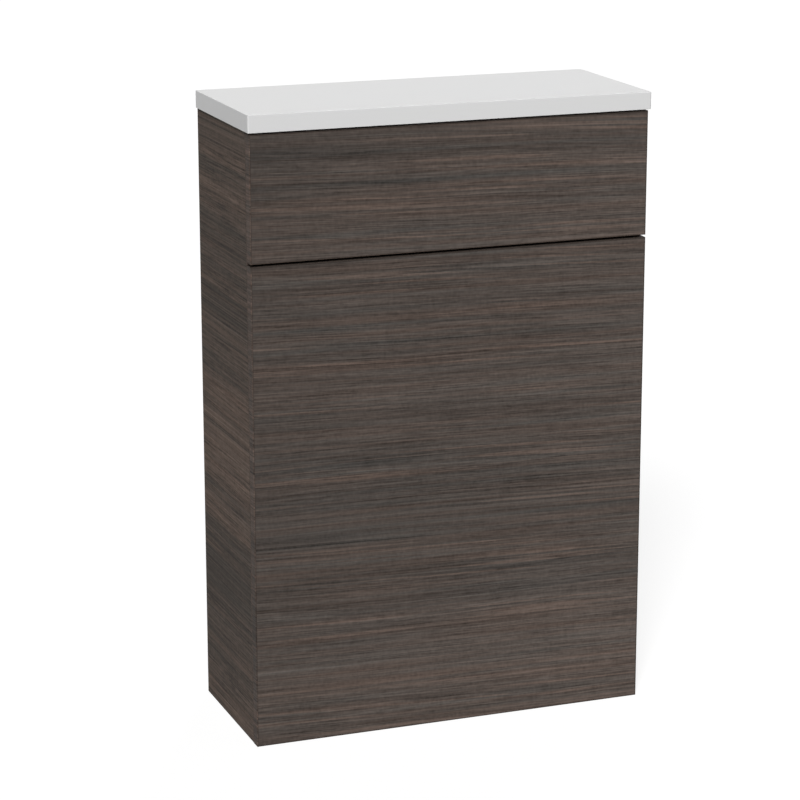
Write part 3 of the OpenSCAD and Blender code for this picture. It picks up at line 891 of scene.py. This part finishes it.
# The stem as it stands at rest, but with its axis at the origin
def stemPattern():
    sizes = stemShape
    low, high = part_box("front_left_foot_stem")
    radius, chamfer, reach = sizes["radius"], sizes["chamfer"], sizes["slotReach"]
    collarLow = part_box("front_left_foot_pad")[1].z + sizes["collarGap"]
    collarHigh = collarLow + sizes["collarHeight"]
    rod = threadedRod(collarHigh - sizes["overlap"], high.z, radius, sizes["depth"], sizes["pitch"],
                      machineThread, sizes["turnSteps"])
    slot = block("slot", (-reach, -sizes["slotWidth"] / 2, high.z - sizes["slotDepth"]),
                 (reach, sizes["slotWidth"] / 2, high.z + reach))
    carve(rod, slot)
    footTop = collarLow + sizes["overlap"]
    foot = lathe("foot", [(0, low.z), (radius - chamfer, low.z), (radius, low.z + chamfer),
                          (radius, footTop), (0, footTop)])
    sixth = math.pi / 3
    corner = sizes["collarAcrossFlats"] / 2 / math.cos(sixth / 2)
    collar = tube("collar", (0, 0), corner, collarLow, collarHigh, 6)
    editAll(collar)
    bpy.ops.transform.rotate(value=sixth / 2, orient_axis="Z", center_override=(0, 0, 0))
    leave()
    breakEdges(collar, sizes["collarEdge"])
    return join("stem pattern", [rod, foot, collar])


def makeStem(foot, pattern):
    node = foot + "_foot_stem"
    stem = copyOf(pattern, (*axisOf(node), 0))
    stem.name = foot + "_stem_threaded"
    smooth(stem, stemShape["smooth"])
    fit(stem, materials["steel"], node)


pattern = stemPattern()
for foot in feet:
    makeStem(foot, pattern)
bpy.data.objects.remove(pattern)
print("stems made")


# Foot pads: grips round the rim, and a boss with a socket for the stem
padShape = {
    "chamfer": 0.001, "grips": 24, "gripDepth": 0.0006, "bore": 0.0041, "floor": 0.003, "lip": 0.0006,
    "rimDrop": 0.0002, "dish": 0.0006, "dishEnd": 0.006, "bossEnd": 0.004, "smooth": 28,
}


def makePad(foot):
    sizes = padShape
    node = foot + "_foot_pad"
    low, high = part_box(node)
    centre, radius, height = axisOf(node), (high.x - low.x) / 2, high.z - low.z
    rim, bore, lip = radius - sizes["chamfer"], sizes["bore"], sizes["lip"]
    points = [(0, 0), (rim, 0), (radius, sizes["chamfer"]), (radius, height - sizes["chamfer"]),
              (rim, height - sizes["rimDrop"]), (bore + sizes["dishEnd"], height - sizes["dish"]),
              (bore + sizes["bossEnd"], height), (bore + lip, height), (bore, height - lip),
              (bore, sizes["floor"]), (0, sizes["floor"])]
    pad = lathe(foot + "_pad_gripped", points, (*centre, low.z), sizes["grips"] * sidesToFlute)
    flute(pad, centre, radius, sizes["grips"], sizes["gripDepth"])
    smooth(pad, sizes["smooth"])
    fit(pad, materials["blackPlastic"], node)


for foot in feet:
    makePad(foot)
print("pads made")


# Countersunk wood screws with a cross recess, a coarse thread and a point
screwShape = {
    "headHeight": 0.0022, "rim": 0.00015, "rootShare": 0.64, "pitchShare": 0.9, "plainShare": 0.8,
    "pointShare": 1.05, "threadSteps": 20, "sides": 40, "smooth": 30,
    "recessLong": 2.2, "recessThick": 0.5, "recessDeep": 0.00155, "recessTaper": 0.45,
}


# Cuts a tapered cross recess into the top of a head, sized by a radius
def cutCross(piece, radius, top, deep):
    long, thick, taper = screwShape["recessLong"], screwShape["recessThick"], screwShape["recessTaper"]
    for length, width in ((long, thick), (thick, long)):
        x, y = radius * length / 2, radius * width / 2
        blade = block("blade", (-x, -y, top - deep), (x, y, top + deep))
        editPoints(blade, lambda point: point.z < top)
        bpy.ops.transform.resize(value=(taper, taper, 1), center_override=(0, 0, top - deep))
        leave()
        carve(piece, blade)


def screwPattern(length, headRadius):
    sizes = screwShape
    radius, head, rim = headRadius / 2, sizes["headHeight"], sizes["rim"]
    neck = head + radius * sizes["plainShare"]
    top = lathe("head", [(0, 0), (headRadius - rim, 0), (headRadius, -rim), (radius, -head), (radius, -neck),
                         (0, -neck)], steps=sizes["sides"])
    cutCross(top, radius, 0, sizes["recessDeep"])
    thread = threadedRod(-length, -head, radius, radius * (1 - sizes["rootShare"]),
                         radius * sizes["pitchShare"], woodThread, sizes["threadSteps"])
    reach = radius * sizes["pointShare"]
    envelope = lathe("envelope", [(0, -length), (reach, reach - length), (reach, -head), (0, -head)],
                     steps=sizes["sides"])
    carve(thread, envelope, "INTERSECT")
    return join("screw pattern", [top, thread])


def makeScrews(node):
    places = loosePlaces(node)
    _, _, length, headRadius = places[0]
    screws = placeAll(node + "_threaded", screwPattern(length, headRadius), places, screwShape["smooth"])
    fit(screws, materials["steel"], node)


for node in ("lower_panel_screws", "corner_block_screws", "wall_bracket_screws", "foot_bracket_screws"):
    makeScrews(node)
print("screws made")


# Cam bolts: a thread for the side panel, a shank, and a head on a thin neck
boltShape = {
    "bite": 0.011, "thread": 0.0025, "threadDepth": 0.0007, "pitch": 0.0018, "threadSteps": 20, "sides": 40,
    "stub": 0.002, "stubShare": 0.7, "pointShare": 1.05, "shank": 0.0035, "neck": 0.00175, "head": 0.003,
    "shankEnd": 0.0372, "headNear": 0.043, "chamfer": 0.0003, "recessDeep": 0.0015, "smooth": 30,
}


def boltPattern(length):
    sizes = boltShape
    edge, bite, shank, head = sizes["chamfer"], sizes["bite"], sizes["shank"], sizes["head"]
    shankEnd, headNear = sizes["shankEnd"], sizes["headNear"]
    stub, stubTop = sizes["thread"] * sizes["stubShare"], sizes["stub"] - bite
    points = [(0, stubTop), (stub, stubTop), (stub, -bite), (shank - edge, -bite), (shank, -bite - edge),
              (shank, edge - shankEnd), (shank - edge, -shankEnd), (sizes["neck"], -shankEnd),
              (sizes["neck"], -headNear), (head - edge, -headNear), (head, -headNear - edge),
              (head, 2 * edge - length), (head - 2 * edge, -length), (0, -length)]
    body = lathe("shank", points, steps=sizes["sides"])
    cutCross(body, sizes["neck"], -length, sizes["recessDeep"])
    thread = threadedRod(-bite, 0, sizes["thread"], sizes["threadDepth"], sizes["pitch"], woodThread,
                         sizes["threadSteps"])
    reach = sizes["thread"] * sizes["pointShare"]
    envelope = lathe("envelope", [(0, -bite), (reach, -bite), (reach, -reach / 2), (reach / 2, 0), (0, 0)],
                     steps=sizes["sides"])
    carve(thread, envelope, "INTERSECT")
    return join("bolt pattern", [body, thread])


def makeBolts():
    places = loosePlaces("cam_bolts", lambda middle: Vector((middle.x, 0, 0)))
    bolts = placeAll("cam_bolts_threaded", boltPattern(places[0][2]), places, boltShape["smooth"])
    fit(bolts, materials["steel"], "cam_bolts")


makeBolts()
print("cam bolts made")


# Push-in studs: barbs in the panel, then a waist and a snap head with a rounded nose
studShape = {
    "radius": 0.004, "waist": 0.0032, "root": 0.010, "tip": 0.0004, "collar": 0.0012,
    "barbs": 4, "barbLean": 0.8, "barbEnd": 0.98, "barbDepth": 0.0005,
    "waistLow": 0.0008, "waistHigh": 0.006, "headRise": 0.0008, "nose": 0.002, "noseSteps": 6, "smooth": 30,
}


def studPattern(length):
    sizes = studShape
    radius, waist, tip, nose = sizes["radius"], sizes["waist"], sizes["tip"], sizes["nose"]
    valley = radius - sizes["barbDepth"]
    step = (sizes["root"] - tip - sizes["collar"]) / sizes["barbs"]
    points = [(0, -length), (waist - tip, -length)]
    for barb in range(sizes["barbs"]):
        low = tip - length + barb * step
        points += [(valley, low), (radius, low + step * sizes["barbLean"]),
                   (valley, low + step * sizes["barbEnd"])]
    face = sizes["root"] - length
    headLow = face + sizes["waistHigh"]
    points += [(radius, face - sizes["collar"]), (radius, face), (waist, face + sizes["waistLow"]),
               (waist, headLow), (radius, headLow + sizes["headRise"])]
    for i in range(sizes["noseSteps"] + 1):
        turn = math.pi / 2 * i / sizes["noseSteps"]
        points.append((radius - nose * (1 - math.cos(turn)), nose * (math.sin(turn) - 1)))
    return lathe("stud pattern", points + [(0, 0)])


def makeStuds():
    places = loosePlaces("access_panel_studs", lambda middle: Vector((0, 1, 0)))
    studs = placeAll("access_panel_studs_barbed", studPattern(places[0][2]), places, studShape["smooth"])
    fit(studs, materials["whiteNylon"], "access_panel_studs")


makeStuds()
print("studs made")


# Wall brackets are folded, so their corner is rounded outside and inside
bendShape = {"sheet": 0.002, "outside": 0.003, "inside": 0.001, "steps": 6}


def foldBracket(piece):
    corners = [vertex.co for vertex in piece.data.vertices]
    out = max((corner.x for corner in corners), key=abs)
    back = max(corner.y for corner in corners)
    sheet = bendShape["sheet"]
    folds = ((out, back, bendShape["outside"]),
             (out - math.copysign(sheet, out), back - sheet, bendShape["inside"]))
    for x, y, radius in folds:
        bevelEdges(piece, radius, bendShape["steps"], lambda a, b: liesAt(a, b, 0, x) and liesAt(a, b, 1, y))


# Fittings that keep their CAD shape, with broken edges: node, radius, material, slot, first step
fittings = [
    ("cam_discs", 0.0002, "castZinc", "zinc", None),
    ("access_panel_sockets", 0.0002, "whiteNylon", "white_nylon", None),
    ("corner_blocks", 0.0012, "whiteNylon", "white_nylon", None),
    ("left_wall_bracket", 0.0003, "plate", "zinc", foldBracket),
    ("right_wall_bracket", 0.0003, "plate", "zinc", foldBracket),
] + [(foot + "_foot_bracket", 0.0005, "blackPlastic", "dark_nylon", None) for foot in feet]
for node, radius, material, slotName, prepare in fittings:
    fit(softened(node + "_finished", node, radius, prepare), materials[material], node)
print("fittings made")


# Studio: a pale floor that keeps the shadow, a white surround, a soft lamp in front and a low one behind.
# A lamp's numbers are its strength, its breadth in degrees, where it shines from and whether it glints
studio = {
    "floorSize": 60.0, "floor": 0.15, "floorSeen": 1.42, "shadowShare": 0.32, "surround": 0.1,
    "lampsAway": 5.0,
    "lamps": {
        "key lamp": (3.11, 22.0, (-0.346, -0.704, 0.62), True),
        "fill lamp": (1.9, 24.0, (0.62, 0.76, 0.19), False),
    },
}


# 1 where the eye, a mirror or a clear piece looks straight at the stage
def seen(bench):
    camera, glossy, clear = [bench.node("ShaderNodeLightPath", {}, {}, "Is " + ray + " Ray")
                             for ray in ("Camera", "Glossy", "Transmission")]
    return bench.node("ShaderNodeMath", {"operation": "MINIMUM"}, {0: camera + glossy + clear, 1: 1.0})


def makeFloor():
    deselect()
    bpy.ops.mesh.primitive_plane_add(size=studio["floorSize"], location=(0, 0, 0))
    floor = bpy.context.object
    floor.name = "floor"
    bench = newMaterial("pale floor")
    bright, dim = studio["floorSeen"], studio["floor"]
    looked = seen(bench)
    tone = bench.blend(looked, (dim, dim, dim, 1), (bright, bright, bright, 1))
    matt = bench.node("ShaderNodeBsdfDiffuse", {}, {"Color": tone})
    glow = bench.node("ShaderNodeEmission", {}, {"Color": (1, 1, 1, 1), "Strength": 1.0})
    share = looked * (1 - studio["shadowShare"])
    mixed = bench.node("ShaderNodeMixShader", {}, {0: share, 1: matt, 2: glow})
    bench.connect(bench.tree.nodes["Material Output"].inputs["Surface"], mixed)
    bench.tree.nodes.remove(bench.tree.nodes["Principled BSDF"])
    paint(floor, bench.owner)


def makeSurround():
    scene.world = bpy.data.worlds.new("white surround")
    bench = Bench(scene.world)
    background = bench.tree.nodes["Background"]
    bench.connect(background.inputs["Color"], (1, 1, 1, 1))
    strength = seen(bench) * (1 - studio["surround"]) + studio["surround"]
    bench.connect(background.inputs["Strength"], strength)


def makeLamp(name, strength, breadth, way, glints):
    deselect()
    bpy.ops.object.light_add(type="SUN", location=Vector(way) * studio["lampsAway"])
    lamp = bpy.context.object
    lamp.name = name
    lamp.data.energy = strength
    lamp.data.angle = math.radians(breadth)
    lamp.visible_glossy = glints
    lamp.rotation_euler = Vector(way).to_track_quat("Z", "Y").to_euler()


makeFloor()
makeSurround()
for name, settings in studio["lamps"].items():
    makeLamp(name, *settings)
scene.view_settings.view_transform = "Standard"

# Camera, matched to the object's edges in the photo. Its angles are in degrees, its lens in millimetres
lens = {
    "place": (-1.2076, -3.13455, 1.2688), "turn": -20.598, "dip": 14.770, "roll": -0.033,
    "length": 127.24, "sensor": 36.0, "farthest": 200.0,
}
deselect()
bpy.ops.object.camera_add(location=lens["place"])
camera = bpy.context.object
camera.data.lens = lens["length"]
camera.data.sensor_width = lens["sensor"]
camera.data.clip_end = lens["farthest"]
turned = Matrix.Rotation(math.radians(lens["turn"]), 4, "Z")
dipped = Matrix.Rotation(math.radians(90 - lens["dip"]), 4, "X")
rolled = Matrix.Rotation(math.radians(lens["roll"]), 4, "Z")
camera.rotation_euler = (turned @ dipped @ rolled).to_euler()
scene.camera = camera
print("studio set")
